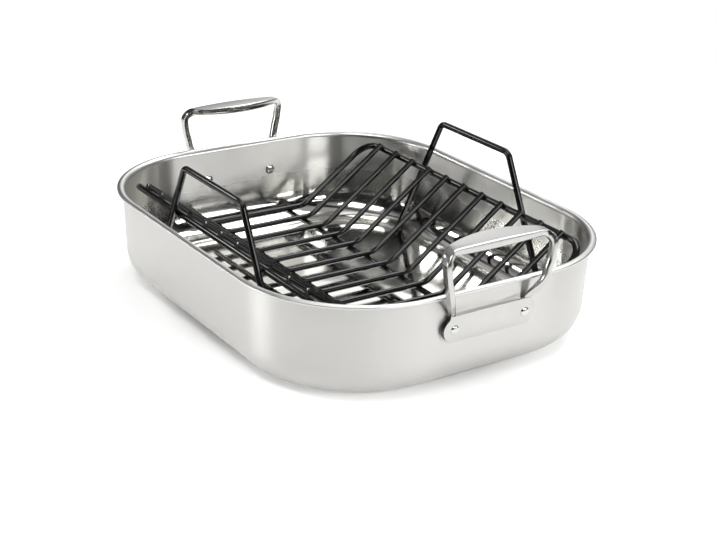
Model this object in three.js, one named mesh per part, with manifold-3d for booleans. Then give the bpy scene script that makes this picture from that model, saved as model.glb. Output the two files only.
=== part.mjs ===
// A roasting pan with two riveted cast handles and a loose V-shaped wire roasting rack.
// Millimetres, +Z up. The origin is the centre of the pan's underside, +X points to one handle.
import * as THREE from 'three';
import { mergeVertices } from 'three/addons/utils/BufferGeometryUtils.js';
import Module from 'manifold-3d';

// Pan, drawn from one sheet
const rimLength = 406;
const rimWidth = 330;
const rimCornerRadius = 108;
const panHeight = 85;
const sheetThickness = 2.6;
const wallLean = THREE.MathUtils.degToRad(2.4);
const floorFillet = 28;
const lipReach = 4.5;
const lipBend = 2;
const lipDroop = 0.7;

// Handle castings, one on each short wall
const plateThickness = 4;
const plateRise = 12;
const lobeRadius = 10.5;
const legWidth = 5.6;
const legDepth = 7;
const legRootOffset = 1.9;
const legFlare = 14.6;
const legBow = 0.7;
// Points up a leg from the lip to the corner: shares of that rise, of the flare and of the bow
const legCourse = [[0, 0.58, 0], [0.37, 0.77, 1], [0.63, 0.91, 1]];
const lipClearance = 2;
const gripRise = 71.7;
const gripThickness = 8.8;
const gripEndThickness = 6.2;
const gripBreadth = 20.4;
const gripEndBreadth = 11;
const gripArch = 1.2;
const gripCornerRadius = 9;
const gripTipOffset = 3.4;
const gripMidOffset = -0.4;
// Points round a corner: shares of the turn, and of the change from leg to grip
const gripCornerCourse = [[0, 0], [1 / 3, 0.25], [2 / 3, 0.6]];
const gripCourse = [0, 1 / 3, 2 / 3, 1];
// Power of the section's curve: 1 is an ellipse, less is nearer a rectangle
const castOuterPower = 0.4;
const castInnerPower = 0.75;

// Rivets that hold the handles
const rivetSpacing = 69;
const rivetHeight = 54;
const rivetShankRadius = 2.9;
const rivetHoleClearance = 0.3;
const innerHeadRadius = 5;
const innerHeadHeight = 2.2;
const outerHeadRadius = 3.9;
const outerHeadHeight = 1.6;
const seatGap = 0.3;

// Rack: welded wire, coated black
const crossWireCount = 11;
const crossWireRadius = 2.15;
const frameRadius = 2.6;
const handleRodRadius = 2.5;
const stringerRadius = 2.2;
const weldGap = 0.2;
const rackEndClearance = 29.8;
const rackSideClearance = 25.9;
const frameCornerRadius = 20;
const railTail = 4;
const rackBendRadius = 18;
const rackFloorHeight = 21.8;
const rackFloorWidth = 93.8;
const rackSlope = THREE.MathUtils.degToRad(36.8);
const wireEndReach = 1;
const stringerSpacing = 80;
const stringerEndReach = 7;
const rackHandleHeight = 126;
const rackHandleTopLength = 98;
const rackHandleFootLength = 219;
const rackHandleBend = 9;

// Facet counts
const cornerSteps = 12;
const filletSteps = 5;
const lipSteps = 4;
const bendSteps = 5;
const wireSides = 8;
const rodSides = 10;
const castSides = 16;
const castRings = 44;
const rivetSides = 20;
const domeSteps = 4;
const holeSides = 24;

const steel = { color: 0xc8c8c5, roughness: 0.32, metalness: 1 };
const polishedSteel = { color: 0xdcdcda, roughness: 0.12, metalness: 1 };
const rivetSteel = { color: 0xb9b9b6, roughness: 0.2, metalness: 1 };
const blackCoat = { color: 0x1b1b1a, roughness: 0.42, metalness: 0 };

const wasm = await Module();
wasm.setup();

function toSolid(geometry) {
  const bare = geometry.clone();
  bare.deleteAttribute('normal');
  bare.deleteAttribute('uv');
  const merged = mergeVertices(bare);
  return new wasm.Manifold(new wasm.Mesh({
    numProp: 3,
    vertProperties: new Float32Array(merged.attributes.position.array),
    triVerts: new Uint32Array(merged.index.array),
  }));
}

function toGeometry(solid) {
  const mesh = solid.getMesh();
  const geometry = new THREE.BufferGeometry();
  geometry.setAttribute('position', new THREE.BufferAttribute(mesh.vertProperties, 3));
  geometry.setIndex(new THREE.BufferAttribute(mesh.triVerts, 1));
  geometry.computeVertexNormals();
  return geometry;
}

function namedMesh(name, geometry, finish) {
  const mesh = new THREE.Mesh(geometry, new THREE.MeshStandardMaterial(finish));
  mesh.name = name;
  return mesh;
}

// Skins a stack of rings, each with the same number of points, and closes its two ends.
function skinRings(rings) {
  const count = rings[0].length;
  const points = rings.flat();
  const faces = [];
  for (let row = 0; row < rings.length - 1; row += 1) {
    for (let i = 0; i < count; i += 1) {
      const next = (i + 1) % count;
      const a = row * count + i;
      const b = row * count + next;
      faces.push(a, b, b + count, a, b + count, a + count);
    }
  }
  const closeEnd = (row, flip) => {
    const centre = new THREE.Vector3();
    rings[row].forEach((point) => centre.addScaledVector(point, 1 / count));
    points.push(centre);
    for (let i = 0; i < count; i += 1) {
      const pair = [row * count + i, row * count + (i + 1) % count];
      faces.push(points.length - 1, ...(flip ? pair.reverse() : pair));
    }
  };
  closeEnd(0, true);
  closeEnd(rings.length - 1, false);
  const geometry = new THREE.BufferGeometry().setFromPoints(points);
  geometry.setIndex(faces);
  geometry.computeVertexNormals();
  return geometry;
}

// Pan

const innerBendRadius = lipBend + sheetThickness;
const lipStart = panHeight - innerBendRadius;
const wallFoot = floorFillet * (1 - Math.sin(wallLean));
const filletInset =
  lipReach + floorFillet * Math.cos(wallLean) + (lipStart - wallFoot) * Math.tan(wallLean);

// How far the outside of the wall lies inside the lip's edge at a height
function wallInset(height) {
  return lipReach + (lipStart - height) * Math.tan(wallLean);
}

function arcPoints(centreX, centreY, radius, from, to, steps) {
  const points = [];
  for (let i = 0; i <= steps; i += 1) {
    const angle = from + ((to - from) * i) / steps;
    points.push([centreX + radius * Math.cos(angle), centreY + radius * Math.sin(angle)]);
  }
  return points;
}

// The sheet's section as [inset from the lip's edge, height], from under the floor round the lip
// and back to the floor's upper face
function panProfile() {
  const down = -Math.PI / 2;
  const wallSide = -Math.PI + wallLean;
  const innerFillet = floorFillet - sheetThickness;
  const edgeRadius = sheetThickness / 2;
  const edgeHeight = panHeight - lipDroop - edgeRadius;
  const bendInset = lipReach - lipBend;
  return [
    ...arcPoints(filletInset, floorFillet, floorFillet, down, wallSide, filletSteps),
    ...arcPoints(bendInset, lipStart, lipBend, 0, Math.PI / 2, lipSteps),
    ...arcPoints(edgeRadius, edgeHeight, edgeRadius, 1.5 * Math.PI, 0.5 * Math.PI, lipSteps),
    ...arcPoints(bendInset, lipStart, innerBendRadius, Math.PI / 2, 0, lipSteps),
    ...arcPoints(filletInset, floorFillet, innerFillet, wallSide, down, filletSteps),
  ];
}

function roundedRing(inset, height) {
  const radius = rimCornerRadius - inset;
  const acrossX = rimLength / 2 - rimCornerRadius;
  const acrossY = rimWidth / 2 - rimCornerRadius;
  const ring = [];
  [[1, 1], [-1, 1], [-1, -1], [1, -1]].forEach(([sideX, sideY], corner) => {
    for (let i = 0; i <= cornerSteps; i += 1) {
      const angle = (corner + i / cornerSteps) * (Math.PI / 2);
      const x = sideX * acrossX + radius * Math.cos(angle);
      const y = sideY * acrossY + radius * Math.sin(angle);
      ring.push(new THREE.Vector3(x, y, height));
    }
  });
  return ring;
}

// Frame of one handle: on the outside of the wall at the rivets' height, local X out of the wall,
// local Z up along it
function handleSeat(turn) {
  const group = new THREE.Group();
  group.rotation.z = turn;
  const seat = new THREE.Group();
  seat.position.set(rimLength / 2 - wallInset(rivetHeight), 0, rivetHeight);
  seat.rotation.y = wallLean;
  group.add(seat);
  return { group, seat };
}

const rivetPlaces = [-rivetSpacing / 2, rivetSpacing / 2];
const handleEnds = [{ end: 'front', turn: 0 }, { end: 'rear', turn: Math.PI }];
const holeRadius = rivetShankRadius + rivetHoleClearance;

// A drill along local X, centred on the seat and long enough to pass through wall and plate
function rivetHole(place) {
  const drillLength = 2 * (sheetThickness + plateThickness + lobeRadius);
  const drill = new THREE.CylinderGeometry(holeRadius, holeRadius, drillLength, holeSides);
  drill.rotateZ(Math.PI / 2);
  drill.translate(0, place, 0);
  return drill;
}

function makePanBody() {
  let pan = toSolid(skinRings(panProfile().map(([inset, height]) => roundedRing(inset, height))));
  handleEnds.forEach(({ turn }) => {
    const { group, seat } = handleSeat(turn);
    group.updateMatrixWorld(true);
    rivetPlaces.forEach((place) => {
      pan = pan.subtract(toSolid(rivetHole(place).applyMatrix4(seat.matrixWorld)));
    });
  });
  return namedMesh('pan_body', toGeometry(pan), steel);
}

// Handles

const plateMiddle = seatGap + plateThickness / 2;
const legRoot = rivetSpacing / 2 + legRootOffset;
const legTop = legRoot + legFlare;

// The riveted plate: straight lower edge, a round lobe about each rivet, and a raised middle that
// meets each lobe in a hollow round
function plateGeometry() {
  const lobePlace = rivetSpacing / 2;
  const shoulder = legRoot + legWidth / 2;
  const beyondRivet = shoulder - lobePlace;
  const hollowRadius =
    (plateRise ** 2 / (lobeRadius - beyondRivet) - lobeRadius - beyondRivet) / 2;
  const hollowPlace = shoulder + hollowRadius;
  const meet = Math.atan2(plateRise, hollowPlace - lobePlace);
  const shape = new THREE.Shape();
  shape.moveTo(-lobePlace, -lobeRadius);
  shape.lineTo(lobePlace, -lobeRadius);
  shape.absarc(lobePlace, 0, lobeRadius, -Math.PI / 2, meet, false);
  shape.absarc(hollowPlace, plateRise, hollowRadius, meet + Math.PI, Math.PI, true);
  shape.lineTo(-shoulder, plateRise);
  shape.absarc(-hollowPlace, plateRise, hollowRadius, 0, -meet, true);
  shape.absarc(-lobePlace, 0, lobeRadius, Math.PI - meet, 1.5 * Math.PI, false);
  const plate = new THREE.ExtrudeGeometry(shape, {
    depth: plateThickness, bevelEnabled: false, curveSegments: castSides,
  });
  // The outline lies in local YZ, and its thickness runs out of the wall
  plate.applyMatrix4(new THREE.Matrix4().set(0, 0, 1, seatGap, 1, 0, 0, 0, 0, 1, 0, 0, 0, 0, 0, 1));
  return plate;
}

// Half of the loop, from its root in the plate to the middle of the grip: the centre line, and half
// the section's thickness within the loop and half its breadth across it
function loopStations() {
  const { lerp } = THREE.MathUtils;
  const legHalf = [legWidth / 2, legDepth / 2];
  const rootHalf = [legWidth / 2, plateThickness / 2 - seatGap];
  const standOff = lipReach + lipClearance + legDepth / 2;
  const lipLevel = panHeight - rivetHeight - sheetThickness - lipDroop;
  const tipRise = gripRise - gripEndThickness / 2 - gripArch;
  const cornerRise = tipRise - gripCornerRadius;
  const midRise = gripRise - gripThickness / 2;
  const root = (rise) => ({ at: [plateMiddle, legRoot, rise], half: rootHalf });
  const leg = ([rise, flare, bow]) => ({
    at: [
      standOff + legBow * bow,
      lerp(legRoot, legTop, flare),
      lerp(lipLevel, cornerRise, rise),
    ],
    half: legHalf,
  });
  const corner = ([turned, part]) => {
    const turn = turned * (Math.PI / 2);
    return {
      at: [
        lerp(standOff, gripTipOffset, part),
        legTop - gripCornerRadius * (1 - Math.cos(turn)),
        cornerRise + gripCornerRadius * Math.sin(turn),
      ],
      half: [
        lerp(legWidth, gripEndThickness, part) / 2,
        lerp(legDepth, gripEndBreadth, part) / 2,
      ],
    };
  };
  const grip = (part) => {
    const bulge = 1 - (1 - part) ** 2;
    return {
      at: [
        lerp(gripTipOffset, gripMidOffset, bulge),
        lerp(legTop - gripCornerRadius, 0, part),
        lerp(tipRise, midRise, bulge),
      ],
      half: [
        lerp(gripEndThickness, gripThickness, bulge) / 2,
        lerp(gripEndBreadth, gripBreadth, bulge) / 2,
      ],
    };
  };
  return [
    root(plateRise / 2),
    root(plateRise),
    ...legCourse.map(leg),
    ...gripCornerCourse.map(corner),
    ...gripCourse.map(grip),
  ];
}

// A ring of the casting: nearly square towards the outside of the loop, rounder inside it
function castRing(centre, inPlane, half) {
  const outOfWall = new THREE.Vector3(1, 0, 0);
  const bend = (value, power) => Math.sign(value) * Math.abs(value) ** power;
  const ring = [];
  for (let i = 0; i < castSides; i += 1) {
    const angle = (2 * Math.PI * i) / castSides;
    const power = Math.cos(angle) > 0 ? castOuterPower : castInnerPower;
    const point = centre.clone();
    point.addScaledVector(inPlane, half.x * bend(Math.cos(angle), power));
    point.addScaledVector(outOfWall, half.y * bend(Math.sin(angle), power));
    ring.push(point);
  }
  return ring;
}

function throughPoints(points) {
  return new THREE.CatmullRomCurve3(points, false, 'catmullrom');
}

function loopGeometry() {
  const right = loopStations();
  const left = right.slice(0, -1).map(({ at: [x, y, z], half }) => ({ at: [x, -y, z], half }));
  const stations = [...left, ...right.reverse()];
  const centres = throughPoints(stations.map(({ at }) => new THREE.Vector3(...at)));
  const halves = throughPoints(stations.map(({ half }) => new THREE.Vector3(...half, 0)));
  const rings = [];
  for (let i = 0; i <= castRings; i += 1) {
    const t = i / castRings;
    const tangent = centres.getTangent(t);
    const inPlane = new THREE.Vector3(0, -tangent.z, tangent.y).normalize();
    rings.push(castRing(centres.getPoint(t), inPlane, halves.getPoint(t)));
  }
  return skinRings(rings);
}

function makeHandle(end) {
  let casting = toSolid(plateGeometry()).add(toSolid(loopGeometry()));
  rivetPlaces.forEach((place) => {
    casting = casting.subtract(toSolid(rivetHole(place)));
  });
  return namedMesh(`${end}_handle`, toGeometry(casting), polishedSteel);
}

// A set rivet along local X: domed head inside the pan, shank, low domed head on the plate
function makeRivet(name, place) {
  const innerFace = -sheetThickness - seatGap;
  const outerFace = seatGap + plateThickness + seatGap;
  const profile = [];
  for (let i = 0; i <= domeSteps; i += 1) {
    const angle = (i / domeSteps) * (Math.PI / 2);
    profile.push([innerHeadRadius * Math.sin(angle), innerFace - innerHeadHeight * Math.cos(angle)]);
  }
  profile.push([rivetShankRadius, innerFace]);
  profile.push([rivetShankRadius, outerFace]);
  for (let i = domeSteps; i >= 0; i -= 1) {
    const angle = (i / domeSteps) * (Math.PI / 2);
    profile.push([outerHeadRadius * Math.sin(angle), outerFace + outerHeadHeight * Math.cos(angle)]);
  }
  const rivet = new THREE.LatheGeometry(profile.map(([x, y]) => new THREE.Vector2(x, y)), rivetSides);
  rivet.rotateZ(-Math.PI / 2);
  rivet.translate(0, place, 0);
  return namedMesh(name, rivet, rivetSteel);
}

// Rack

// A rod's centre line: straight runs joined by round bends, with stations only where it turns
class BentPath extends THREE.Curve {
  constructor(corners, bendRadii) {
    super();
    this.stations = [];
    const last = corners.length - 1;
    this.addStation(corners[0], corners[1].clone().sub(corners[0]));
    for (let i = 1; i < last; i += 1) {
      this.addBend(corners[i - 1], corners[i], corners[i + 1], bendRadii[i - 1]);
    }
    this.addStation(corners[last], corners[last].clone().sub(corners[last - 1]));
  }

  addStation(point, tangent) {
    this.stations.push({ point: point.clone(), tangent: tangent.clone().normalize() });
  }

  addBend(before, corner, after, radius) {
    const into = corner.clone().sub(before).normalize();
    const outOf = after.clone().sub(corner).normalize();
    const turn = into.angleTo(outOf);
    const start = corner.clone().addScaledVector(into, -radius * Math.tan(turn / 2));
    const axis = into.clone().cross(outOf).normalize();
    const toCentre = axis.clone().cross(into).multiplyScalar(radius);
    const centre = start.clone().add(toCentre);
    for (let i = 0; i <= bendSteps; i += 1) {
      const angle = (turn * i) / bendSteps;
      const spoke = toCentre.clone().negate().applyAxisAngle(axis, angle);
      this.addStation(centre.clone().add(spoke), into.clone().applyAxisAngle(axis, angle));
    }
  }

  blend(t, key, target) {
    const place = t * (this.stations.length - 1);
    const index = Math.min(Math.floor(place), this.stations.length - 2);
    return target.lerpVectors(this.stations[index][key], this.stations[index + 1][key], place - index);
  }

  getPoint(t, target = new THREE.Vector3()) {
    return this.blend(t, 'point', target);
  }

  getTangent(t, target = new THREE.Vector3()) {
    return this.blend(t, 'tangent', target).normalize();
  }

  // Stations are taken one by one, not at equal lengths
  getUtoTmapping(u) {
    return u;
  }
}

function bentRod(corners, bendRadii, radius, sides) {
  const path = new BentPath(corners.map((corner) => new THREE.Vector3(...corner)), bendRadii);
  const outline = [];
  for (let i = 0; i < sides; i += 1) {
    const angle = (2 * Math.PI * (i + 0.5)) / sides;
    outline.push(new THREE.Vector2(radius * Math.cos(angle), radius * Math.sin(angle)));
  }
  return new THREE.ExtrudeGeometry(new THREE.Shape(outline), {
    steps: path.stations.length - 1, extrudePath: path,
  });
}

// The frame keeps its clearance from the wall under the lip
const frameInset = lipReach + sheetThickness + frameRadius;
const frameLength = rimLength - 2 * (frameInset + rackEndClearance);
const frameWidth = rimWidth - 2 * (frameInset + rackSideClearance);

// Section of the rack: the cross wires lie on the frame's rails and on the stringers
const slopeRise = Math.tan(rackSlope);
const railPlace = frameWidth / 2;
const railOffset = frameRadius + crossWireRadius + weldGap;
const wireBend = rackFloorWidth / 2;
const railHeight =
  rackFloorHeight + (railPlace - wireBend) * slopeRise - railOffset / Math.cos(rackSlope);
const wireTouch = railPlace - railOffset * Math.sin(rackSlope);
const wireEnd = wireTouch + wireEndReach;
const wireEndHeight = rackFloorHeight + (wireEnd - wireBend) * slopeRise;
const stringerHeight = rackFloorHeight - crossWireRadius - weldGap - stringerRadius;
const frameFloorHeight = stringerHeight + stringerRadius + weldGap + frameRadius;
const frameBend = railPlace - (railHeight - frameFloorHeight) / slopeRise;
const handlePlane = railPlace + frameRadius + weldGap + handleRodRadius;

function makeCrossWire(index) {
  const pitch = frameLength / (crossWireCount + 1);
  const x = (index + 1) * pitch - frameLength / 2;
  const corners = [
    [x, -wireEnd, wireEndHeight],
    [x, -wireBend, rackFloorHeight],
    [x, wireBend, rackFloorHeight],
    [x, wireEnd, wireEndHeight],
  ];
  const rod = bentRod(corners, [rackBendRadius, rackBendRadius], crossWireRadius, wireSides);
  return namedMesh(`rack_wire_${index + 1}`, rod, blackCoat);
}

// A point on the slope of the end rods, measured down it from the rail's corner
function slopePoint(x, side, reach) {
  return [
    x,
    side * (railPlace - reach * Math.cos(rackSlope)),
    railHeight - reach * Math.sin(rackSlope),
  ];
}

// Rail along one side, its ends bent down and butted to the end rods
function makeRail(name, side) {
  const end = frameLength / 2;
  const reach = frameCornerRadius + railTail;
  const corners = [
    slopePoint(-end, side, reach),
    slopePoint(-end, side, 0),
    slopePoint(end, side, 0),
    slopePoint(end, side, reach),
  ];
  const rod = bentRod(corners, [frameCornerRadius, frameCornerRadius], frameRadius, rodSides);
  return namedMesh(name, rod, blackCoat);
}

// Rod across one end, bent like the cross wires
function makeRackEnd(name, side) {
  const x = (side * frameLength) / 2;
  const reach = frameCornerRadius + railTail + weldGap;
  const corners = [
    slopePoint(x, -1, reach),
    [x, -frameBend, frameFloorHeight],
    [x, frameBend, frameFloorHeight],
    slopePoint(x, 1, reach),
  ];
  const rod = bentRod(corners, [rackBendRadius, rackBendRadius], frameRadius, rodSides);
  return namedMesh(name, rod, blackCoat);
}

function makeStringer(name, side) {
  const y = (side * stringerSpacing) / 2;
  const end = frameLength / 2 + stringerEndReach;
  const corners = [[-end, y, stringerHeight], [end, y, stringerHeight]];
  const rod = bentRod(corners, [], stringerRadius, rodSides);
  return namedMesh(name, rod, blackCoat);
}

// Height of the pan's upper face under a foot that stands this far from the middle
function floorUnder(y) {
  const innerFillet = floorFillet - sheetThickness;
  const past = Math.max(0, y - (rimWidth / 2 - filletInset));
  return floorFillet - Math.sqrt(innerFillet ** 2 - past ** 2);
}

// Carrying handle and two feet from one rod, welded to the outside of a rail
function makeRackHandle(name, side) {
  const y = side * handlePlane;
  const top = rackHandleTopLength / 2;
  const foot = rackHandleFootLength / 2;
  const legLean = Math.atan2(foot - top, rackHandleHeight);
  const floorHeight = floorUnder(handlePlane + handleRodRadius);
  const footHeight = floorHeight + seatGap + handleRodRadius * Math.sin(legLean);
  const corners = [
    [-foot, y, footHeight],
    [-top, y, rackHandleHeight],
    [top, y, rackHandleHeight],
    [foot, y, footHeight],
  ];
  const rod = bentRod(corners, [rackHandleBend, rackHandleBend], handleRodRadius, rodSides);
  return namedMesh(name, rod, blackCoat);
}

// Assembly

const roastingPan = new THREE.Group();
roastingPan.add(makePanBody());
handleEnds.forEach(({ end, turn }) => {
  const { group, seat } = handleSeat(turn);
  seat.add(makeHandle(end));
  rivetPlaces.forEach((place, index) => {
    seat.add(makeRivet(`${end}_rivet_${index + 1}`, place));
  });
  roastingPan.add(group);
});

const rack = new THREE.Group();
rack.add(makeRail('rack_rail_left', -1));
rack.add(makeRail('rack_rail_right', 1));
rack.add(makeRackEnd('rack_end_front', 1));
rack.add(makeRackEnd('rack_end_rear', -1));
for (let index = 0; index < crossWireCount; index += 1) {
  rack.add(makeCrossWire(index));
}
rack.add(makeStringer('rack_stringer_left', -1));
rack.add(makeStringer('rack_stringer_right', 1));
rack.add(makeRackHandle('rack_handle_left', -1));
rack.add(makeRackHandle('rack_handle_right', 1));
roastingPan.add(rack);

export default roastingPan;
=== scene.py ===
import math

import bmesh
import bpy
from mathutils import Matrix, Vector


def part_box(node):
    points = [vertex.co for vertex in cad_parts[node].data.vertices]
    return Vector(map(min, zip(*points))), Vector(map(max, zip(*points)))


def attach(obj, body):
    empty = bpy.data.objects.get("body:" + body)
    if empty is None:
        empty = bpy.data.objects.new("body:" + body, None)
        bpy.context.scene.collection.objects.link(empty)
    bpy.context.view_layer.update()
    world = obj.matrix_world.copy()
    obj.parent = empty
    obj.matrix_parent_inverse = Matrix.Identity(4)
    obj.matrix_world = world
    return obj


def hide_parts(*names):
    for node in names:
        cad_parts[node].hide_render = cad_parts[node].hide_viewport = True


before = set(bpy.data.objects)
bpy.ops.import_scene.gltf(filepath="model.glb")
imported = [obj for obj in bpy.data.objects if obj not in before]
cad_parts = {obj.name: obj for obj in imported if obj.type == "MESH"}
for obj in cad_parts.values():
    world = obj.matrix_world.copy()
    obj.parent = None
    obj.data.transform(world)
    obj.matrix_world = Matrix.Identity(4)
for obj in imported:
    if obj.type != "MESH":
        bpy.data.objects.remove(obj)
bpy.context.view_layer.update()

scene = bpy.context.scene
mm = 0.001
mergeReach = 0.001 * mm
xAxis = Vector((1, 0, 0))
yAxis = Vector((0, 1, 0))
zAxis = Vector((0, 0, 1))
print("frame loaded,", len(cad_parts), "nodes")

# Mesh helpers


def vertsOf(geom):
    return [item for item in geom if isinstance(item, bmesh.types.BMVert)]


def edgesOf(geom):
    return [item for item in geom if isinstance(item, bmesh.types.BMEdge)]


def pushEdges(bm, edges, offset):  # extrude a run of edges and slide it along
    made = bmesh.ops.extrude_edge_only(bm, edges=edges)["geom"]
    bmesh.ops.translate(bm, verts=vertsOf(made), vec=offset)
    return vertsOf(made) + edgesOf(made)


def pushVert(bm, vert, place):  # extrude a vertex to a place
    made = bmesh.ops.extrude_vert_indiv(bm, verts=[vert])["verts"][0]
    made.co = place
    return made


def turn(bm, geom, centre, axis, angle, steps):  # spin an open run of vertices or edges
    made = bmesh.ops.spin(bm, geom=geom, cent=centre, axis=axis, angle=angle, steps=steps)
    return vertsOf(made["geom_last"]) + edgesOf(made["geom_last"])


def mirrorOver(bm, axis):  # add the mirror image across the middle
    bmesh.ops.mirror(bm, geom=bm.verts[:] + bm.edges[:] + bm.faces[:], axis=axis, merge_dist=mergeReach)


def roundEdges(bm, edges, width, segments):
    bmesh.ops.bevel(
        bm, geom=edges, offset=width, offset_type="OFFSET", segments=segments,
        profile=0.5, affect="EDGES", material=-1, clamp_overlap=True,
    )


def closeMesh(bm):
    bmesh.ops.remove_doubles(bm, verts=bm.verts, dist=mergeReach)
    bmesh.ops.recalc_face_normals(bm, faces=bm.faces)


def makeObject(name, bm, sharpAngle=38):
    for edge in bm.edges:
        edge.smooth = not (edge.is_manifold and edge.calc_face_angle() > math.radians(sharpAngle))
    for face in bm.faces:
        face.smooth = True
    mesh = bpy.data.meshes.new(name)
    bm.to_mesh(mesh)
    bm.free()
    piece = bpy.data.objects.new(name, mesh)
    scene.collection.objects.link(piece)
    return piece


def dress(piece, looks, body, slot, *nodes):  # finish, body and the solids that the piece stands for
    for look in looks:
        piece.data.materials.append(look)
    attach(piece, body)
    if nodes:
        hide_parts(*nodes)


# Shader helpers


def addNode(tree, kind, values=None, **settings):
    node = tree.nodes.new(kind)
    for key, value in settings.items():
        setattr(node, key, value)
    for key, value in (values or {}).items():
        node.inputs[key].default_value = value
    return node


def feed(tree, socket, value):  # link an output, or set a constant
    if isinstance(value, bpy.types.NodeSocket):
        tree.links.new(value, socket)
    else:
        socket.default_value = value


def reckon(tree, operation, *values, **settings):  # one step of arithmetic on outputs and constants
    node = addNode(tree, "ShaderNodeMath", operation=operation, **settings)
    for socket, value in zip(node.inputs, values):
        feed(tree, socket, value)
    return node.outputs["Value"]


def ramp(tree, value, start, stop, low=0.0, high=1.0, smooth="SMOOTHSTEP"):  # low until start, high from stop
    node = addNode(tree, "ShaderNodeMapRange", {
        "From Min": start, "From Max": stop, "To Min": low, "To Max": high,
    }, interpolation_type=smooth)
    tree.links.new(value, node.inputs["Value"])
    return node.outputs["Result"]


def lengthOf(tree, vector):
    node = addNode(tree, "ShaderNodeVectorMath", operation="LENGTH")
    tree.links.new(vector, node.inputs[0])
    return node.outputs["Value"]


def newGroup(name, inputs, outputs):
    group = bpy.data.node_groups.new(name, "ShaderNodeTree")
    for label, kind, value in inputs:
        socket = group.interface.new_socket(name=label, in_out="INPUT", socket_type=kind)
        if value is not None:
            socket.default_value = value
    for label, kind in outputs:
        group.interface.new_socket(name=label, in_out="OUTPUT", socket_type=kind)
    return group, group.nodes.new("NodeGroupInput"), group.nodes.new("NodeGroupOutput")


def makeBrushLines():  # fine grinding lines: a noise drawn out along the stroke
    group, given, put = newGroup(
        "brushLines",
        [
            ("Vector", "NodeSocketVector", None),
            ("Fineness", "NodeSocketFloat", 900.0),
            ("Detail", "NodeSocketFloat", 1.0),
        ],
        [("Lines", "NodeSocketFloat")],
    )
    noise = addNode(group, "ShaderNodeTexNoise", {"Roughness": 0.6})
    spread = addNode(group, "ShaderNodeMapRange", {"From Min": 0.3, "From Max": 0.7})
    group.links.new(given.outputs["Vector"], noise.inputs["Vector"])
    group.links.new(given.outputs["Fineness"], noise.inputs["Scale"])
    group.links.new(given.outputs["Detail"], noise.inputs["Detail"])
    group.links.new(noise.outputs["Fac"], spread.inputs["Value"])
    group.links.new(spread.outputs["Result"], put.inputs["Lines"])
    return group


def makeHandling():  # broad cloudy marks left by handling and washing
    group, given, put = newGroup(
        "handlingMarks",
        [
            ("Vector", "NodeSocketVector", None),
            ("Size", "NodeSocketFloat", 18.0),
            ("Low", "NodeSocketFloat", 0.2),
            ("High", "NodeSocketFloat", 0.3),
        ],
        [("Value", "NodeSocketFloat"), ("Cloud", "NodeSocketFloat")],
    )
    noise = addNode(group, "ShaderNodeTexNoise", {"Detail": 5.0, "Roughness": 0.55})
    spread = addNode(group, "ShaderNodeMapRange", {"From Min": 0.3, "From Max": 0.7})
    group.links.new(given.outputs["Vector"], noise.inputs["Vector"])
    group.links.new(given.outputs["Size"], noise.inputs["Scale"])
    group.links.new(noise.outputs["Fac"], spread.inputs["Value"])
    group.links.new(given.outputs["Low"], spread.inputs["To Min"])
    group.links.new(given.outputs["High"], spread.inputs["To Max"])
    group.links.new(spread.outputs["Result"], put.inputs["Value"])
    group.links.new(noise.outputs["Fac"], put.inputs["Cloud"])
    return group


brushLines = makeBrushLines()
handlingMarks = makeHandling()


def placeGroup(tree, group, vector, **values):
    node = addNode(tree, "ShaderNodeGroup", node_tree=group)
    tree.links.new(vector, node.inputs["Vector"])
    for key, value in values.items():
        node.inputs[key].default_value = value
    return node


def newLook(name):
    look = bpy.data.materials.new(name)
    look.use_nodes = True
    tree = look.node_tree
    shader = tree.nodes["Principled BSDF"]
    place = addNode(tree, "ShaderNodeTexCoord")
    return look, tree, shader, place.outputs["Object"]


def tintBy(tree, shader, cloud, looks):  # base colour between the finish's dark and light
    tint = addNode(tree, "ShaderNodeMix", data_type="RGBA")
    tint.inputs["A"].default_value = (*looks["dark"], 1)
    tint.inputs["B"].default_value = (*looks["light"], 1)
    tree.links.new(cloud, tint.inputs["Factor"])
    tree.links.new(tint.outputs["Result"], shader.inputs["Base Color"])


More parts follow.
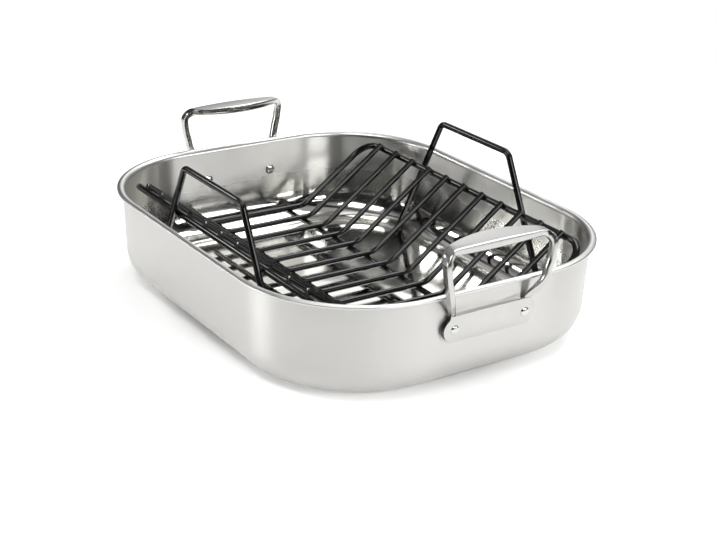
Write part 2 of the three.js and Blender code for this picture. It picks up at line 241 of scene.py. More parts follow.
def steelLook(name, looks):  # one bare steel finish: grinding lines, cloudy polish and a slight ripple
    look, tree, shader, place = newLook(name)
    shader.inputs["Metallic"].default_value = 1.0
    shader.inputs["Anisotropic"].default_value = looks.get("anisotropy", 0.0)
    shader.inputs["Anisotropic Rotation"].default_value = 0.25  # gloss spreads across the level strokes
    stretch = addNode(tree, "ShaderNodeMapping", {"Scale": looks["stroke"]})
    tree.links.new(place, stretch.inputs["Vector"])
    lines = placeGroup(tree, brushLines, stretch.outputs["Vector"], Fineness=looks["fineness"])
    low, high = looks["roughness"]
    marks = placeGroup(tree, handlingMarks, place, Size=looks["cloudSize"], Low=low, High=high)
    depth = lines.outputs["Lines"]
    rough = marks.outputs["Value"]
    if "wallFrom" in looks:  # only the wall is ground, the floor below it is polished
        split = addNode(tree, "ShaderNodeSeparateXYZ")
        tree.links.new(place, split.inputs["Vector"])
        wall = ramp(tree, split.outputs["Z"], *looks["wallFrom"], smooth="SMOOTHERSTEP")
        depth = reckon(tree, "MULTIPLY", wall, depth)
        rough = reckon(tree, "MULTIPLY_ADD", wall, looks["wallRoughness"], rough)
    tree.links.new(rough, shader.inputs["Roughness"])
    tintBy(tree, shader, marks.outputs["Cloud"], looks)

    grain = addNode(
        tree, "ShaderNodeBump", {"Strength": looks["lineBump"], "Distance": looks["lineDepth"]}
    )
    tree.links.new(depth, grain.inputs["Height"])
    ripple = addNode(tree, "ShaderNodeTexNoise", {"Scale": looks["rippleSize"], "Detail": 1.0})
    tree.links.new(place, ripple.inputs["Vector"])
    waves = addNode(
        tree, "ShaderNodeBump", {"Strength": looks["ripple"], "Distance": looks["rippleDepth"]}
    )
    tree.links.new(ripple.outputs["Fac"], waves.inputs["Height"])
    tree.links.new(grain.outputs["Normal"], waves.inputs["Normal"])
    tree.links.new(waves.outputs["Normal"], shader.inputs["Normal"])
    return look


outsideSteel = steelLook("satinOutside", {
    "dark": (0.545, 0.54, 0.522), "light": (0.625, 0.62, 0.6),
    "stroke": (0.02, 0.02, 1.0), "fineness": 5000.0,  # strokes run level round the wall
    "roughness": (0.34, 0.38), "cloudSize": 14.0, "anisotropy": 0.8,
    "lineBump": 0.3, "lineDepth": 0.015 * mm, "rippleSize": 8.0, "ripple": 0.3, "rippleDepth": 0.8 * mm,
})
insideSteel = steelLook("polishedInside", {
    "dark": (0.73, 0.723, 0.695), "light": (0.84, 0.832, 0.8),
    "stroke": (0.02, 0.02, 1.0), "fineness": 5000.0,
    "roughness": (0.03, 0.07), "cloudSize": 26.0,
    "wallFrom": (5 * mm, 68 * mm), "wallRoughness": 0.28, "anisotropy": 1.0,
    "lineBump": 0.15, "lineDepth": 0.012 * mm, "rippleSize": 16.0, "ripple": 0.14, "rippleDepth": 1.0 * mm,
})
rimSteel = steelLook("polishedRim", {
    "dark": (0.6, 0.596, 0.585), "light": (0.68, 0.676, 0.665),
    "stroke": (0.03, 0.03, 1.0), "fineness": 3000.0,
    "roughness": (0.3, 0.38), "cloudSize": 20.0,
    "lineBump": 0.2, "lineDepth": 0.03 * mm, "rippleSize": 9.0, "ripple": 0.1, "rippleDepth": 0.5 * mm,
})
castSteel = steelLook("polishedCasting", {
    "dark": (0.485, 0.481, 0.468), "light": (0.57, 0.566, 0.552),
    "stroke": (1.0, 0.12, 1.0), "fineness": 1500.0,
    "roughness": (0.13, 0.19), "cloudSize": 60.0,
    "lineBump": 0.05, "lineDepth": 0.02 * mm, "rippleSize": 45.0, "ripple": 0.12, "rippleDepth": 0.2 * mm,
})
# painted shade: a near-black copy of the casting's steel, put on the lobes' rounded sides where the gap
# beside the wall lies in shade
paintedShadeEdge = steelLook("paintedShadeCastingEdge", {
    "dark": (0.07, 0.07, 0.068), "light": (0.14, 0.14, 0.136),
    "stroke": (1.0, 0.12, 1.0), "fineness": 1500.0,
    "roughness": (0.2, 0.3), "cloudSize": 60.0,
    "lineBump": 0.1, "lineDepth": 0.03 * mm, "rippleSize": 45.0, "ripple": 0.12, "rippleDepth": 0.2 * mm,
})
rivetSteel = steelLook("polishedRivet", {
    "dark": (0.58, 0.575, 0.563), "light": (0.66, 0.655, 0.642),
    "stroke": (1.0, 1.0, 1.0), "fineness": 1200.0,
    "roughness": (0.12, 0.18), "cloudSize": 120.0,
    "lineBump": 0.08, "lineDepth": 0.02 * mm, "rippleSize": 260.0, "ripple": 0.2, "rippleDepth": 0.1 * mm,
})


def coatLook(name, looks):  # black non-stick coating, sprayed over wire
    look, tree, shader, place = newLook(name)
    shader.inputs["Specular IOR Level"].default_value = looks["specular"]
    low, high = looks["roughness"]
    marks = placeGroup(tree, handlingMarks, place, Size=looks["cloudSize"], Low=low, High=high)
    tree.links.new(marks.outputs["Value"], shader.inputs["Roughness"])
    tintBy(tree, shader, marks.outputs["Cloud"], looks)
    peel = addNode(tree, "ShaderNodeTexNoise", {"Scale": looks["peelSize"], "Detail": 2.0})
    tree.links.new(place, peel.inputs["Vector"])
    bump = addNode(tree, "ShaderNodeBump", {"Strength": looks["peel"], "Distance": looks["peelDepth"]})
    tree.links.new(peel.outputs["Fac"], bump.inputs["Height"])
    tree.links.new(bump.outputs["Normal"], shader.inputs["Normal"])
    return look


blackCoat = coatLook("blackCoat", {
    "dark": (0.003, 0.003, 0.0028), "light": (0.006, 0.006, 0.0055), "specular": 0.36,
    "roughness": (0.07, 0.13), "cloudSize": 90.0,
    "peelSize": 1500.0, "peel": 0.25, "peelDepth": 0.05 * mm,
})
print("finishes made")

# Pan

panShape = {
    "cornerRadius": 108 * mm,
    "sheet": 2.6 * mm,
    "lean": math.radians(2.4),
    "floorRound": 28 * mm,
    "lipReach": 4.5 * mm,
    "lipBend": 2 * mm,
    "lipDroop": 0.7 * mm,
    "floorMargin": 4 * mm,
    "wallMargin": 1.5 * mm,
    "cornerSteps": 48,
    "floorSteps": 16,
    "lipSteps": 8,
    "edgeSteps": 5,
    "edgeRound": 0.45,  # share of the sheet
    "edgeMargin": 0.3,  # share of the sheet
    "edgeAngle": 1.0,  # an edge that turns more, in radians, is a corner of the lip
    "floorFacing": 0.7,  # upward share of a normal that makes a face part of the inside
}
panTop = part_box("pan_body")[1]
lipStart = panTop.z - panShape["lipBend"] - panShape["sheet"]
panMiddle = Vector((panTop.x - panShape["cornerRadius"], panTop.y - panShape["cornerRadius"], 0))


def wallReach(height):  # outside of the end wall at a height
    return panTop.x - panShape["lipReach"] - (lipStart - height) * math.tan(panShape["lean"])


def outwards(point):  # level direction from the middle of the pan or of its nearest corner
    away = Vector((max(abs(point.x) - panMiddle.x, 0), max(abs(point.y) - panMiddle.y, 0), 0))
    return Vector((math.copysign(away.x, point.x), math.copysign(away.y, point.y), 0))


def panSection(bm):  # outside of the end wall at its middle, from the floor up to the edge of the lip
    lean, bend, floorRound = panShape["lean"], panShape["lipBend"], panShape["floorRound"]
    floorX = wallReach(floorRound * (1 - math.sin(lean))) - floorRound * math.cos(lean)
    foot = bm.verts.new((floorX, 0, 0))
    last = turn(bm, [foot], (floorX, 0, floorRound), -yAxis, math.pi / 2 - lean, panShape["floorSteps"])
    last = last[0]
    for height in (last.co.z + panShape["wallMargin"], lipStart - panShape["wallMargin"], lipStart):
        last = pushVert(bm, last, (wallReach(height), 0, height))
    last = turn(bm, [last], (last.co.x + bend, 0, lipStart), yAxis, math.pi / 2, panShape["lipSteps"])
    pushVert(bm, last[0], (panTop.x, 0, panTop.z - panShape["sheet"] - panShape["lipDroop"]))


def makePan():
    sheet = panShape["sheet"]
    bm = bmesh.new()
    panSection(bm)
    run = pushEdges(bm, bm.edges[:], yAxis * panMiddle.y)  # a quarter: half an end wall, a corner,
    run = turn(bm, run, panMiddle, zAxis, math.pi / 2, panShape["cornerSteps"])
    pushEdges(bm, edgesOf(run), -xAxis * panMiddle.x)  # and half a long wall
    mirrorOver(bm, "X")
    mirrorOver(bm, "Y")
    closeMesh(bm)
    floorRim = [e for e in bm.edges if e.is_boundary and e.verts[0].co.z < sheet]
    floor = bmesh.ops.holes_fill(bm, edges=floorRim, sides=0)["faces"]
    bmesh.ops.inset_region(bm, faces=floor, thickness=panShape["floorMargin"])
    bmesh.ops.recalc_face_normals(bm, faces=bm.faces)
    if floor[0].normal.z > 0:
        bmesh.ops.reverse_faces(bm, faces=bm.faces)
    bmesh.ops.solidify(bm, geom=bm.faces[:], thickness=sheet)
    bm.normal_update()
    edgeReach = panShape["cornerRadius"] - panShape["edgeMargin"] * sheet
    lipEdges = [
        e for e in bm.edges
        if min(outwards(v.co).length for v in e.verts) > edgeReach
        and e.calc_face_angle(0) > panShape["edgeAngle"]
    ]
    roundEdges(bm, lipEdges, panShape["edgeRound"] * sheet, panShape["edgeSteps"])
    for face in bm.faces:
        middle = face.calc_center_median()
        inside = face.normal.dot(outwards(middle)) < 0 or face.normal.z > panShape["floorFacing"]
        face.material_index = 1 if inside else 0
        if middle.z > lipStart:
            face.material_index = 2
    pan = makeObject("panSheet", bm, sharpAngle=60)
    dress(pan, [outsideSteel, insideSteel, rimSteel], "pan", "pan_steel", "pan_body")


makePan()
print("pan made")

# Handles and their rivets

handleShape = {
    "rivetSpacing": 69 * mm,
    "rivetHeight": 54 * mm,
    "plate": 4.3 * mm,
    "plateRise": 12 * mm,
    "lobe": 10.5 * mm,
    "shoulder": 39.2 * mm,
    "plateEdge": 0.7 * mm,
    "outerRound": 0.2,  # share of the half section, on the outside of the loop
    "innerRound": 0.8,
    "ringSteps": 5,
    "spanSteps": 5,
    "arcSteps": 16,
    "legRoot": 36.4 * mm,  # from the middle of the plate
    "legFlare": 14.6 * mm,
    "leg": (5.6 * mm, 7 * mm),  # thickness in the loop and breadth across it
    "rootInset": 0.9 * mm,  # the loop's root is thinner than the plate
    "legStandOff": 10 * mm,  # clears the lip
    "legBow": 0.7 * mm,
    "legCourse": [(0, 0.58, 0), (0.37, 0.77, 1), (0.63, 0.91, 1)],  # shares of the rise, flare and bow
    "lipLevel": 27.7 * mm,  # above the rivets
    "gripCorner": 9 * mm,
    "cornerCourse": [(0, 0), (1 / 3, 0.25), (2 / 3, 0.6)],  # shares of the turn and of the leg's change
    "gripTip": (3.4 * mm, 67.4 * mm),  # out of the wall and up it
    "gripMiddle": (-0.4 * mm, 67.3 * mm),
    "tipSection": (6.2 * mm, 11 * mm),
    "gripSection": (8.8 * mm, 20.4 * mm),
    "gripSpans": 3,
}
rivetShape = {
    "shank": 2.9 * mm,
    "innerHead": (5 * mm, 2.2 * mm),  # radius and height
    "outerHead": (3.9 * mm, 1.6 * mm),
    "grip": (-2.6 * mm, 4.3 * mm),  # from the inside of the wall to the face of the plate
    "headSteps": 8,
    "sides": 40,
}


def seatOf(turned):  # on the outside of an end wall at the rivets: X out of the wall, Z up along it
    height = handleShape["rivetHeight"]
    place = Matrix.Translation((wallReach(height), 0, height))
    return Matrix.Rotation(turned, 4, "Z") @ place @ Matrix.Rotation(panShape["lean"], 4, "Y")


def platePlan(bm):  # half of the plate's outline, mirrored
    lobe, rise, shoulder = handleShape["lobe"], handleShape["plateRise"], handleShape["shoulder"]
    rivet = handleShape["rivetSpacing"] / 2
    beyond = shoulder - rivet
    hollow = (rise ** 2 / (lobe - beyond) - lobe - beyond) / 2
    meet = math.atan2(rise, shoulder + hollow - rivet)
    steps = handleShape["arcSteps"]
    last = pushVert(bm, bm.verts.new((0, 0, -lobe)), (0, rivet, -lobe))
    last = turn(bm, [last], (0, rivet, 0), xAxis, math.pi / 2 + meet, steps)
    last = turn(bm, last, (0, shoulder + hollow, rise), -xAxis, meet, steps)
    pushVert(bm, last[0], (0, 0, rise))
    mirrorOver(bm, "Y")
    bmesh.ops.remove_doubles(bm, verts=bm.verts, dist=mergeReach)


def makePlate():
    bm = bmesh.new()
    platePlan(bm)
    face = bmesh.ops.contextual_create(bm, geom=bm.edges[:])["faces"]
    front = bmesh.ops.extrude_face_region(bm, geom=face)["geom"]
    bmesh.ops.translate(bm, verts=vertsOf(front), vec=xAxis * handleShape["plate"])
    closeMesh(bm)
    frontEdges = [e for e in bm.edges if min(v.co.x for v in e.verts) > handleShape["plate"] / 2]
    roundEdges(bm, frontEdges, handleShape["plateEdge"], segments=3)
    return makeObject("plate", bm)


def between(points, index, share):  # smooth curve through points: its place and its heading
    a, b, c, d = (points[min(max(index + k, 0), len(points) - 1)] for k in (-1, 0, 1, 2))
    one, two, three = c - a, 2 * a - 5 * b + 4 * c - d, 3 * b - a - 3 * c + d
    place = b + (one * share + two * share ** 2 + three * share ** 3) / 2
    return place, one + two * (2 * share) + three * (3 * share ** 2)


def mix(first, second, share):
    return tuple(a + (b - a) * share for a, b in zip(first, second))


def loopStations():  # half of the loop from root to middle: out, along and up, then the section
    shape = handleShape
    rootSection = (shape["leg"][0], shape["plate"] - shape["rootInset"])
    legTop = shape["legRoot"] + shape["legFlare"]
    cornerRise = shape["gripTip"][1] - shape["gripCorner"]
    for up in (shape["plateRise"] / 2, shape["plateRise"]):
        yield shape["plate"] / 2, shape["legRoot"], up, *rootSection
    for rise, flare, bow in shape["legCourse"]:
        up = shape["lipLevel"] + (cornerRise - shape["lipLevel"]) * rise
        yield (
            shape["legStandOff"] + shape["legBow"] * bow, shape["legRoot"] + shape["legFlare"] * flare,
            up, *shape["leg"],
        )
    for turned, share in shape["cornerCourse"]:
        angle = turned * math.pi / 2
        out = shape["legStandOff"] + (shape["gripTip"][0] - shape["legStandOff"]) * share
        along = legTop - shape["gripCorner"] * (1 - math.cos(angle))
        up = cornerRise + shape["gripCorner"] * math.sin(angle)
        yield out, along, up, *mix(shape["leg"], shape["tipSection"], share)
    for span in range(shape["gripSpans"] + 1):
        share = span / shape["gripSpans"]
        bulge = 1 - (1 - share) ** 2
        out, up = mix(shape["gripTip"], shape["gripMiddle"], bulge)
        along = (legTop - shape["gripCorner"]) * (1 - share)
        yield out, along, up, *mix(shape["tipSection"], shape["gripSection"], bulge)


def loopFrames():  # across, thickness, heading and centre of each ring of the loop
    half = list(loopStations())
    other = [(out, -along, up, thick, broad) for out, along, up, thick, broad in half]
    whole = other[:-1] + half[::-1]
    centres = [Vector(station[:3]) for station in whole]
    sizes = [Vector((*station[3:], 0)) / 2 for station in whole]
    steps = handleShape["spanSteps"]
    for ring in range((len(whole) - 1) * steps + 1):
        index, step = divmod(ring, steps)
        centre, heading = between(centres, index, step / steps)
        size = between(sizes, index, step / steps)[0]
        thick = Vector((0, -heading.z, heading.y)).normalized()
        columns = (xAxis * size.y, thick * size.x, heading.normalized(), centre)
        yield Matrix([[*row, 0] for row in columns[:3]] + [[*centre, 1]]).transposed()


def makeLoop():
    bm = bmesh.new()
    bmesh.ops.create_grid(bm, x_segments=1, y_segments=1, size=1)
    corners = bm.verts[:]
    for share, side in ((handleShape["outerRound"], 1), (handleShape["innerRound"], -1)):
        bmesh.ops.bevel(
            bm, geom=[v for v in corners if v.is_valid and v.co.y * side > 0.99], offset=share,
            offset_type="OFFSET", segments=handleShape["ringSteps"], profile=0.5,
            affect="VERTICES", material=-1,
        )
    bmesh.ops.delete(bm, geom=bm.faces[:], context="FACES_ONLY")
    before = Matrix.Identity(4)
    run = bm.edges[:]
    for index, frameOfRing in enumerate(loopFrames()):
        if index:
            run = edgesOf(bmesh.ops.extrude_edge_only(bm, edges=run)["geom"])
        ring = list(dict.fromkeys(vert for edge in run for vert in edge.verts))
        bmesh.ops.transform(bm, matrix=frameOfRing @ before.inverted(), verts=ring)
        before = frameOfRing
    bmesh.ops.holes_fill(bm, edges=[e for e in bm.edges if e.is_boundary], sides=0)
    closeMesh(bm)
    return makeObject("loop", bm)


def joined(first, second):  # one closed casting from two overlapping solids
    union = first.modifiers.new("union", "BOOLEAN")
    union.operation, union.solver, union.object = "UNION", "EXACT", second
    bpy.context.view_layer.update()
    whole = bpy.data.meshes.new_from_object(first.evaluated_get(bpy.context.evaluated_depsgraph_get()))
    bm = bmesh.new()
    bm.from_mesh(whole)
    for item in (first, second):
        bpy.data.meshes.remove(item.data)
    bpy.data.meshes.remove(whole)
    return bm


def makeHandle(end, turned):
    bm = joined(makePlate(), makeLoop())
    bm.normal_update()
    for face in bm.faces:  # the lobes' rounded sides, which carry the painted shade
        middle = face.calc_center_median()
        side = abs(face.normal.x) < 0.5 and middle.x < handleShape["plate"]
        lobe = abs(middle.y) > handleShape["rivetSpacing"] / 2 and middle.z < handleShape["plateRise"]
        face.material_index = 1 if side and lobe else 0
    bmesh.ops.transform(bm, matrix=seatOf(turned), verts=bm.verts)
    closeMesh(bm)
    handle = makeObject(end + "Handle", bm, sharpAngle=32)
    dress(handle, [castSteel, paintedShadeEdge], "pan", "handle_steel", end + "_handle")


def makeRivet(name, turned, along, node):
    bm = bmesh.new()
    inner, outer = rivetShape["grip"]
    ends = []
    for centre, side, (radius, height) in (
        (inner, 1, rivetShape["innerHead"]), (outer, -1, rivetShape["outerHead"]),
    ):
        rim = bm.verts.new((centre, radius, 0))
        known = set(bm.verts)
        turn(bm, [rim], (centre, 0, 0), zAxis * side, math.pi / 2, rivetShape["headSteps"])
        arc = [rim] + [v for v in bm.verts if v not in known]
        squeeze = Matrix.Diagonal((height / radius, 1, 1, 1))
        bmesh.ops.transform(bm, matrix=squeeze, space=Matrix.Translation((-centre, 0, 0)), verts=arc)
        ends.append(pushVert(bm, rim, (centre, rivetShape["shank"], 0)))
    bm.edges.new(ends)
    bmesh.ops.spin(
        bm, geom=bm.verts[:] + bm.edges[:], cent=(0, 0, 0), axis=xAxis, angle=2 * math.pi,
        steps=rivetShape["sides"], use_merge=True,
    )
    closeMesh(bm)
    place = seatOf(turned) @ Matrix.Translation((0, along, 0))
    bmesh.ops.transform(bm, matrix=place, verts=bm.verts)
    rivet = makeObject(name, bm)
    dress(rivet, [rivetSteel], "pan", "rivet_steel", node)


for end, turned in (("front", 0), ("rear", math.pi)):
    makeHandle(end, turned)
    for number, side in ((1, -1), (2, 1)):
        along = side * handleShape["rivetSpacing"] / 2
        makeRivet(f"{end}Rivet{number}", turned, along, f"{end}_rivet_{number}")
print("handles and rivets made")

# Rack

rackShape = {
    "wires": 11,
    "wire": 2.15 * mm,
    "frame": 2.6 * mm,
    "handleRod": 2.5 * mm,
    "stringer": 2.2 * mm,
    "weld": 0.2 * mm,  # gap that the weld bridges
    "coat": 0.4 * mm,  # thickness over every rod
    "length": 327 * mm,
    "width": 258.8 * mm,
    "frameBend": 20 * mm,
    "tail": 4 * mm,
    "wireBend": 18 * mm,
    "floorHeight": 21.8 * mm,
    "floorWidth": 93.8 * mm,
    "slope": math.radians(36.8),
    "wireReach": 1 * mm,
    "stringerSpacing": 80 * mm,
    "stringerReach": 7 * mm,
    "handleHeight": 126 * mm,
    "handleTop": 98 * mm,
    "handleFoot": 219 * mm,
    "handleBend": 9 * mm,
    "sides": 20,
    "bendSteps": 12,
    "endRound": 0.25,  # share of the rod's radius
}
weldShape = {"bead": 2.3 * mm, "butt": 3.15 * mm, "sides": 14, "rings": 9}
slopeCos, slopeSin = math.cos(rackShape["slope"]), math.sin(rackShape["slope"])
slopeRise = slopeSin / slopeCos
railPlace = rackShape["width"] / 2
railGap = rackShape["frame"] + rackShape["wire"] + rackShape["weld"]
wireBend = rackShape["floorWidth"] / 2
railHeight = rackShape["floorHeight"] + (railPlace - wireBend) * slopeRise - railGap / slopeCos
wireEnd = railPlace - railGap * slopeSin + rackShape["wireReach"]
wireEndHeight = rackShape["floorHeight"] + (wireEnd - wireBend) * slopeRise
stringerHeight = rackShape["floorHeight"] - rackShape["wire"] - rackShape["weld"] - rackShape["stringer"]
endHeight = stringerHeight + rackShape["stringer"] + rackShape["weld"] + rackShape["frame"]
endBend = railPlace - (railHeight - endHeight) / slopeRise
handlePlane = railPlace + rackShape["frame"] + rackShape["weld"] + rackShape["handleRod"]
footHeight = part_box("rack_handle_left")[0].z + rackShape["handleRod"]
halfLength = rackShape["length"] / 2


def bentRod(name, corners, bend, radius, node):  # straight runs joined by round bends, ends rounded off
    bm = bmesh.new()
    points = [Vector(corner) for corner in corners]
    facing = (points[1] - points[0]).to_track_quat("Z", "Y").to_matrix().to_4x4()
    place = Matrix.Translation(points[0]) @ facing
    coated = radius + rackShape["coat"]
    bmesh.ops.create_circle(bm, segments=rackShape["sides"], radius=coated, matrix=place)
    run, here = bm.verts[:] + bm.edges[:], points[0]
    for before, corner, after in zip(points, points[1:], points[2:]):
        into, outOf = (corner - before).normalized(), (after - corner).normalized()
        angle, axis = into.angle(outOf), into.cross(outOf).normalized()
        cut = bend * math.tan(angle / 2)
        run = pushEdges(bm, edgesOf(run), corner - into * cut - here)
        centre = corner - into * cut + axis.cross(into) * bend
        run = turn(bm, run, centre, axis, angle, rackShape["bendSteps"])
        here = corner + outOf * cut
    pushEdges(bm, edgesOf(run), points[-1] - here)
    caps = bmesh.ops.holes_fill(bm, edges=[e for e in bm.edges if e.is_boundary], sides=0)["faces"]
    closeMesh(bm)
    roundEdges(bm, [e for cap in caps for e in cap.edges], radius * rackShape["endRound"], segments=4)
    rod = makeObject(name, bm, sharpAngle=50)
    dress(rod, [blackCoat], "rack", "rack_coating", node)


def slopePoint(x, side, reach):  # down the slope of the rack's end from the corner of a rail
    return Vector((x, side * (railPlace - reach * slopeCos), railHeight - reach * slopeSin))


def wirePlace(number):
    return number * rackShape["length"] / (rackShape["wires"] + 1) - halfLength


def makeRack():
    tail = rackShape["frameBend"] + rackShape["tail"]
    bend, floorHeight = rackShape["wireBend"], rackShape["floorHeight"]
    for word, side in (("Left", -1), ("Right", 1)):
        low = word.lower()
        rail = [slopePoint(x, side, reach) for x, reach in (
            (-halfLength, tail), (-halfLength, 0), (halfLength, 0), (halfLength, tail),
        )]
        bentRod("rackRail" + word, rail, rackShape["frameBend"], rackShape["frame"], "rack_rail_" + low)
        y, end = side * rackShape["stringerSpacing"] / 2, halfLength + rackShape["stringerReach"]
        stringer = [(-end, y, stringerHeight), (end, y, stringerHeight)]
        bentRod("rackStringer" + word, stringer, 0, rackShape["stringer"], "rack_stringer_" + low)
        y, top, foot = side * handlePlane, rackShape["handleTop"] / 2, rackShape["handleFoot"] / 2
        height = rackShape["handleHeight"]
        grip = [(-foot, y, footHeight), (-top, y, height), (top, y, height), (foot, y, footHeight)]
        bentRod(
            "rackHandle" + word, grip, rackShape["handleBend"], rackShape["handleRod"],
            "rack_handle_" + low,
        )
    for word, side in (("Front", 1), ("Rear", -1)):
        x = side * halfLength
        start, stop = slopePoint(x, -1, tail), slopePoint(x, 1, tail)
        corners = [start, (x, -endBend, endHeight), (x, endBend, endHeight), stop]
        bentRod("rackEnd" + word, corners, bend, rackShape["frame"], "rack_end_" + word.lower())
    for number in range(1, rackShape["wires"] + 1):
        x = wirePlace(number)
        corners = [
            (x, -wireEnd, wireEndHeight), (x, -wireBend, floorHeight),
            (x, wireBend, floorHeight), (x, wireEnd, wireEndHeight),
        ]
        bentRod(f"rackWire{number}", corners, bend, rackShape["wire"], f"rack_wire_{number}")


def weldPlaces():  # where two rods cross, and where the ends of rails and end rods meet
    half = rackShape["weld"] / 2
    onRail = rackShape["frame"] + half
    onStringer = stringerHeight + rackShape["stringer"] + half
    climb = (railHeight - footHeight) / (rackShape["handleHeight"] - footHeight)
    foot, top = rackShape["handleFoot"] / 2, rackShape["handleTop"] / 2
    legPlace = foot + (top - foot) * climb
    for side in (-1, 1):
        stringer = side * rackShape["stringerSpacing"] / 2
        for number in range(1, rackShape["wires"] + 1):
            x = wirePlace(number)
            yield (x, side * (railPlace - onRail * slopeSin), railHeight + onRail * slopeCos), "bead"
            yield (x, stringer, onStringer), "bead"
        for end in (-1, 1):
            yield (end * halfLength, stringer, onStringer), "bead"
            yield (end * legPlace, side * (railPlace + onRail), railHeight), "bead"
            yield slopePoint(end * halfLength, side, rackShape["frameBend"] + rackShape["tail"]), "butt"


def makeWelds():
    bm = bmesh.new()
    for place, kind in weldPlaces():
        bmesh.ops.create_uvsphere(
            bm, u_segments=weldShape["sides"], v_segments=weldShape["rings"],
            radius=weldShape[kind], matrix=Matrix.Translation(place),
        )
    welds = makeObject("rackWelds", bm, sharpAngle=80)
    dress(welds, [blackCoat], "rack", "rack_coating")


makeRack()
makeWelds()
print("rack made")

# Floor, light and camera

studio = {
    "floorSize": 1.3,
    "floorSides": 96,
    "floorDrop": 0.1 * mm,  # clears the pan's underside
    "floorRoughness": 0.9,
    "floorFade": (0.4, 1.1),
    "floorGlow": 0.27,
    "paintedShadowReach": (0.8, 1.04),  # painted contact shadow: shares of the pan's reach where the floor's glow begins and is full, so the floor is darker close round the pan
    "floorColour": (0.97, 0.97, 0.97, 1),
    "horizon": 1.0,
    "zenith": 0.35,
    "ceiling": (0.35, 0.8),  # upward shares of a direction where the room starts to grey and is greyest
}
gaps = {  # dark stretches of the room: how far either way they fade in and are full, and their tops
    "viewer": {
        "heading": math.radians(-33.8), "fade": math.radians(150), "full": math.radians(80),
        "top": (0.72, 0.92), "depth": 0.98,
    },
    "right": {
        "heading": math.radians(104), "fade": math.radians(40), "full": math.radians(14),
        "top": (0.3, 0.55), "depth": 0.9,
    },
    "behind": {
        "heading": math.radians(184), "fade": math.radians(40), "full": math.radians(22),
        "top": (0.5, 0.75), "depth": 0.95,
    },
}
lamps = {
    "rightBox": {
        "heading": math.radians(30), "height": math.radians(16), "distance": 3.0,
        "size": (1.6, 1.0), "power": 21.0,
    },
    "frontBox": {
        "heading": math.radians(2), "height": math.radians(34), "distance": 3.0,
        "size": (1.2, 0.95), "power": 28.0,
    },
    "leftBox": {
        "heading": math.radians(-116), "height": math.radians(8), "distance": 3.0,
        "size": (0.9, 1.2), "power": 22.0,
    },
    "topBox": {
        "heading": math.radians(-72), "height": math.radians(66), "distance": 3.0,
        "size": (2.0, 0.9), "power": 30.0,
    },
    "backBox": {
        "heading": math.radians(112), "height": math.radians(56), "distance": 3.0,
        "size": (2.4, 1.3), "power": 48.0,
    },
    "farBox": {
        "heading": math.radians(211), "height": math.radians(26), "distance": 3.0,
        "size": (0.56, 0.38), "power": 10.5,
    },
    "gripBox": {
        "heading": math.radians(146), "height": math.radians(24), "distance": 3.0,
        "size": (1.6, 1.0), "power": 1.7,
    },
}
view = {
    "azimuth": math.radians(56.163),
    "elevation": math.radians(21.921),
    "distance": 1307.21 * mm,
    "aim": Vector((0, 0, 40 * mm)),
    "yaw": math.radians(-0.415),
    "pitch": math.radians(-0.667),
    "roll": math.radians(1.697),
    "lens": 74.29,
    "sensor": 36.0,
}


def makeFloor():  # a pale table top that fades out into the white room
    bm = bmesh.new()
    bmesh.ops.create_circle(bm, cap_ends=True, segments=studio["floorSides"], radius=studio["floorSize"])
    bmesh.ops.translate(bm, verts=bm.verts, vec=(0, 0, -studio["floorDrop"]))
    floor = makeObject("floor", bm)
    look, tree, shader, place = newLook("paleFloor")
    shader.inputs["Base Color"].default_value = studio["floorColour"]
    shader.inputs["Roughness"].default_value = studio["floorRoughness"]
    shader.inputs["Specular IOR Level"].default_value = 0.0
    shader.inputs["Emission Color"].default_value = (1, 1, 1, 1)
    rays = addNode(tree, "ShaderNodeLightPath")
    mirrored = reckon(tree, "ADD", rays.outputs["Is Glossy Ray"], rays.outputs["Is Transmission Ray"])
    seen = reckon(tree, "ADD", rays.outputs["Is Camera Ray"], mirrored, use_clamp=True)
    glow = reckon(tree, "MULTIPLY", seen, studio["floorGlow"])
    # painted contact shadow: the glow fades out towards the pan, darkening the floor round its foot and the
    # pan's lower walls that mirror it
    panReach = addNode(tree, "ShaderNodeMapping", {"Scale": (1 / panTop.x, 1 / panTop.y, 0)})
    tree.links.new(place, panReach.inputs["Vector"])
    paintedShadowRamp = ramp(tree, lengthOf(tree, panReach.outputs["Vector"]), *studio["paintedShadowReach"])
    feed(tree, shader.inputs["Emission Strength"], reckon(tree, "MULTIPLY", glow, paintedShadowRamp))
    fade = ramp(tree, lengthOf(tree, place), *studio["floorFade"], low=1.0, high=0.0)
    feed(tree, shader.inputs["Alpha"], fade)
    floor.data.materials.append(look)


def dimmed(tree, strength, heading, height, gap):  # the room's brightness with one dark stretch in it
    facing = (math.cos(gap["heading"]), math.sin(gap["heading"]), 0)
    turned = addNode(tree, "ShaderNodeVectorMath", {1: facing}, operation="DOT_PRODUCT")
    tree.links.new(heading, turned.inputs[0])
    edge, core = math.cos(gap["fade"]), math.cos(gap["full"])
    wide = ramp(tree, turned.outputs["Value"], edge, core, high=gap["depth"])
    below = ramp(tree, height, *gap["top"], low=1.0, high=0.0)
    darkness = reckon(tree, "MULTIPLY", wide, below)
    return reckon(tree, "MULTIPLY", strength, reckon(tree, "SUBTRACT", 1.0, darkness))


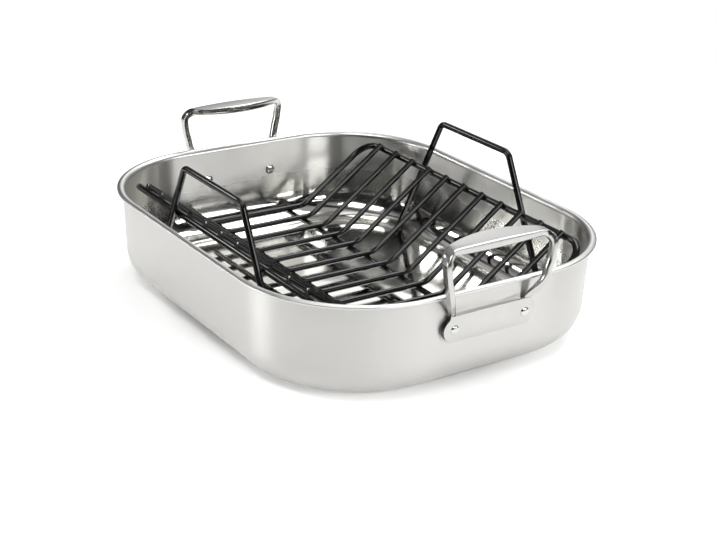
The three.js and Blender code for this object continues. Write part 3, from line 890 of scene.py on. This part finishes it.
def makeWorld():  # a white room with a greyer ceiling and dark stretches
    world = bpy.data.worlds.new("studio")
    scene.world = world
    world.use_nodes = True
    tree = world.node_tree
    back = tree.nodes["Background"]
    back.inputs["Color"].default_value = (1, 1, 1, 1)
    place = addNode(tree, "ShaderNodeTexCoord")
    split = addNode(tree, "ShaderNodeSeparateXYZ")
    tree.links.new(place.outputs["Generated"], split.inputs["Vector"])
    level = addNode(tree, "ShaderNodeVectorMath", {1: (1, 1, 0)}, operation="MULTIPLY")
    tree.links.new(place.outputs["Generated"], level.inputs[0])
    heading = addNode(tree, "ShaderNodeVectorMath", operation="NORMALIZE")
    tree.links.new(level.outputs["Vector"], heading.inputs[0])
    strength = ramp(tree, split.outputs["Z"], *studio["ceiling"], studio["horizon"], studio["zenith"])
    for gap in gaps.values():
        strength = dimmed(tree, strength, heading.outputs["Vector"], split.outputs["Z"], gap)
    tree.links.new(strength, back.inputs["Strength"])
    white = addNode(tree, "ShaderNodeBackground", {"Color": (1, 1, 1, 1), "Strength": 1.0})
    rays = addNode(tree, "ShaderNodeLightPath")
    pick = addNode(tree, "ShaderNodeMixShader")
    tree.links.new(rays.outputs["Is Camera Ray"], pick.inputs[0])
    tree.links.new(back.outputs["Background"], pick.inputs[1])
    tree.links.new(white.outputs["Background"], pick.inputs[2])
    tree.links.new(pick.outputs["Shader"], tree.nodes["World Output"].inputs["Surface"])


def makeLamp(name, values):  # a softbox at a heading and height, facing the pan
    lamp = bpy.data.lights.new(name, "AREA")
    lamp.shape = "RECTANGLE"
    lamp.size, lamp.size_y = values["size"]
    lamp.energy = values["power"]
    holder = bpy.data.objects.new(name, lamp)
    scene.collection.objects.link(holder)
    around, above = values["heading"], values["height"]
    away = Vector((math.cos(around) * math.cos(above), math.sin(around) * math.cos(above), math.sin(above)))
    holder.location = away * values["distance"]
    holder.rotation_euler = away.to_track_quat("Z", "Y").to_euler()


def makeCamera():
    a, e = view["azimuth"], view["elevation"]
    back = Vector((math.sin(a) * math.cos(e), -math.cos(a) * math.cos(e), math.sin(e)))
    right = Vector((math.cos(a), math.sin(a), 0))
    up = back.cross(right)
    place = view["aim"] + back * view["distance"]
    yaw = Matrix.Rotation(view["yaw"], 3, up)
    back, right = yaw @ back, yaw @ right
    pitch = Matrix.Rotation(view["pitch"], 3, right)
    back, up = pitch @ back, pitch @ up
    roll = Matrix.Rotation(view["roll"], 3, back)
    right, up = roll @ right, roll @ up
    lens = bpy.data.cameras.new("camera")
    lens.lens, lens.sensor_width = view["lens"], view["sensor"]
    camera = bpy.data.objects.new("camera", lens)
    scene.collection.objects.link(camera)
    turned = Matrix((right, up, back)).transposed().to_4x4()
    camera.matrix_world = Matrix.Translation(place) @ turned
    scene.camera = camera


makeFloor()
makeWorld()
for name, lamp in lamps.items():
    makeLamp(name, lamp)
makeCamera()
scene.view_settings.view_transform = "Standard"
print("studio made")
